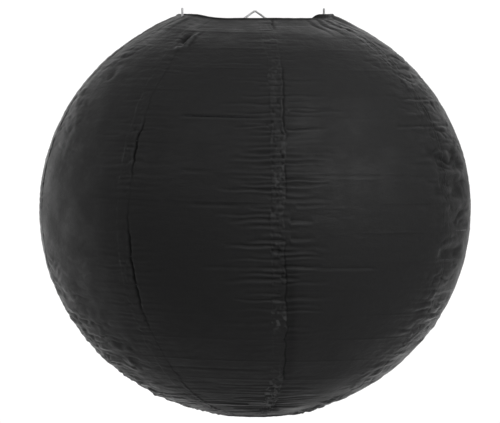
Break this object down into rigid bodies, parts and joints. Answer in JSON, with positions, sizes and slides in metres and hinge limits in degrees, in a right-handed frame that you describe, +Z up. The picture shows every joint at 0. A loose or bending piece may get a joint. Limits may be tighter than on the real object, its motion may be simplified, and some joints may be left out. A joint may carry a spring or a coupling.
{
  "type": "paper lantern",
  "caption": "Round folding paper lantern: papered turns of rib wire between two end rings, held open by a wire expander with a hanging loop.",
  "frame": {"origin": "top of the inner side of the expander's hanging loop, where a hook or cord bears", "axes": "+Z up along the lantern's axis, from the bottom ring to the hanging loop; the expander's plane is turned 29 degrees from +X towards +Y"},
  "size_m": [0.4066, 0.4066, 0.3817],
  "materials": {
    "paper": "matte",
    "rib_wire": "satin",
    "ring_wire": "satin",
    "expander_wire": "satin"
  },
  "bodies": {
    "expander": {"expander_leg_wire": "expander_wire", "expander_arm_wire": "expander_wire"},
    "top_ring": {"top_ring": "ring_wire"},
    "turn_01": {"rib_wire_01": "rib_wire", "paper_band_01": "paper"},
    "turn_02": {"rib_wire_02": "rib_wire", "paper_band_02": "paper"},
    "turn_03": {"rib_wire_03": "rib_wire", "paper_band_03": "paper"},
    "turn_04": {"rib_wire_04": "rib_wire", "paper_band_04": "paper"},
    "turn_05": {"rib_wire_05": "rib_wire", "paper_band_05": "paper"},
    "turn_06": {"rib_wire_06": "rib_wire", "paper_band_06": "paper"},
    "turn_07": {"rib_wire_07": "rib_wire", "paper_band_07": "paper"},
    "turn_08": {"rib_wire_08": "rib_wire", "paper_band_08": "paper", "paper_band_09": "paper"},
    "turn_09": {"rib_wire_09": "rib_wire", "paper_band_10": "paper"},
    "turn_10": {"rib_wire_10": "rib_wire", "paper_band_11": "paper"},
    "turn_11": {"rib_wire_11": "rib_wire", "paper_band_12": "paper"},
    "turn_12": {"rib_wire_12": "rib_wire", "paper_band_13": "paper"},
    "turn_13": {"rib_wire_13": "rib_wire", "paper_band_14": "paper"},
    "turn_14": {"rib_wire_14": "rib_wire", "paper_band_15": "paper"},
    "turn_15": {"rib_wire_15": "rib_wire", "paper_band_16": "paper"},
    "turn_16": {"rib_wire_16": "rib_wire", "paper_band_17": "paper"},
    "turn_17": {"rib_wire_17": "rib_wire", "paper_band_18": "paper"},
    "turn_18": {"rib_wire_18": "rib_wire", "paper_band_19": "paper"},
    "bottom_ring": {"bottom_ring": "ring_wire"}
  },
  "joints": [
    {"name": "shade_off_expander", "type": "slide", "parent": "expander", "child": "top_ring", "axis": [0, 0, -1], "range_m": [0, 0.4]},
    {"name": "fold_01", "type": "slide", "parent": "top_ring", "child": "turn_01", "axis": [0, 0, 1], "range_m": [0, 0.01329]},
    {"name": "fold_02", "type": "slide", "parent": "turn_01", "child": "turn_02", "axis": [0, 0, 1], "range_m": [0, 0.01347]},
    {"name": "fold_03", "type": "slide", "parent": "turn_02", "child": "turn_03", "axis": [0, 0, 1], "range_m": [0, 0.01626]},
    {"name": "fold_04", "type": "slide", "parent": "turn_03", "child": "turn_04", "axis": [0, 0, 1], "range_m": [0, 0.01871]},
    {"name": "fold_05", "type": "slide", "parent": "turn_04", "child": "turn_05", "axis": [0, 0, 1], "range_m": [0, 0.02079]},
    {"name": "fold_06", "type": "slide", "parent": "turn_05", "child": "turn_06", "axis": [0, 0, 1], "range_m": [0, 0.02244]},
    {"name": "fold_07", "type": "slide", "parent": "turn_06", "child": "turn_07", "axis": [0, 0, 1], "range_m": [0, 0.02365]},
    {"name": "fold_08", "type": "slide", "parent": "turn_07", "child": "turn_08", "axis": [0, 0, 1], "range_m": [0, 0.02438]},
    {"name": "fold_09", "type": "slide", "parent": "turn_08", "child": "turn_09", "axis": [0, 0, 1], "range_m": [0, 0.02463]},
    {"name": "fold_10", "type": "slide", "parent": "turn_09", "child": "turn_10", "axis": [0, 0, 1], "range_m": [0, 0.02438]},
    {"name": "fold_11", "type": "slide", "parent": "turn_10", "child": "turn_11", "axis": [0, 0, 1], "range_m": [0, 0.02365]},
    {"name": "fold_12", "type": "slide", "parent": "turn_11", "child": "turn_12", "axis": [0, 0, 1], "range_m": [0, 0.02244]},
    {"name": "fold_13", "type": "slide", "parent": "turn_12", "child": "turn_13", "axis": [0, 0, 1], "range_m": [0, 0.02079]},
    {"name": "fold_14", "type": "slide", "parent": "turn_13", "child": "turn_14", "axis": [0, 0, 1], "range_m": [0, 0.01871]},
    {"name": "fold_15", "type": "slide", "parent": "turn_14", "child": "turn_15", "axis": [0, 0, 1], "range_m": [0, 0.01626]},
    {"name": "fold_16", "type": "slide", "parent": "turn_15", "child": "turn_16", "axis": [0, 0, 1], "range_m": [0, 0.01347]},
    {"name": "fold_17", "type": "slide", "parent": "turn_16", "child": "turn_17", "axis": [0, 0, 1], "range_m": [0, 0.01039]},
    {"name": "fold_18", "type": "slide", "parent": "turn_17", "child": "turn_18", "axis": [0, 0, 1], "range_m": [0, 0.00709]},
    {"name": "fold_19", "type": "slide", "parent": "turn_18", "child": "bottom_ring", "axis": [0, 0, 1], "range_m": [0, 0.0026]}
  ],
  "couplings": [
    {"joint": "fold_02", "follows": "fold_01", "ratio": 1.006},
    {"joint": "fold_03", "follows": "fold_01", "ratio": 1.216},
    {"joint": "fold_04", "follows": "fold_01", "ratio": 1.4003},
    {"joint": "fold_05", "follows": "fold_01", "ratio": 1.5568},
    {"joint": "fold_06", "follows": "fold_01", "ratio": 1.681},
    {"joint": "fold_07", "follows": "fold_01", "ratio": 1.772},
    {"joint": "fold_08", "follows": "fold_01", "ratio": 1.8269},
    {"joint": "fold_09", "follows": "fold_01", "ratio": 1.8458},
    {"joint": "fold_10", "follows": "fold_01", "ratio": 1.8269},
    {"joint": "fold_11", "follows": "fold_01", "ratio": 1.772},
    {"joint": "fold_12", "follows": "fold_01", "ratio": 1.681},
    {"joint": "fold_13", "follows": "fold_01", "ratio": 1.5568},
    {"joint": "fold_14", "follows": "fold_01", "ratio": 1.4003},
    {"joint": "fold_15", "follows": "fold_01", "ratio": 1.216},
    {"joint": "fold_16", "follows": "fold_01", "ratio": 1.006},
    {"joint": "fold_17", "follows": "fold_01", "ratio": 0.77427},
    {"joint": "fold_18", "follows": "fold_01", "ratio": 0.52596},
    {"joint": "fold_19", "follows": "fold_01", "ratio": 0.18811}
  ]
}
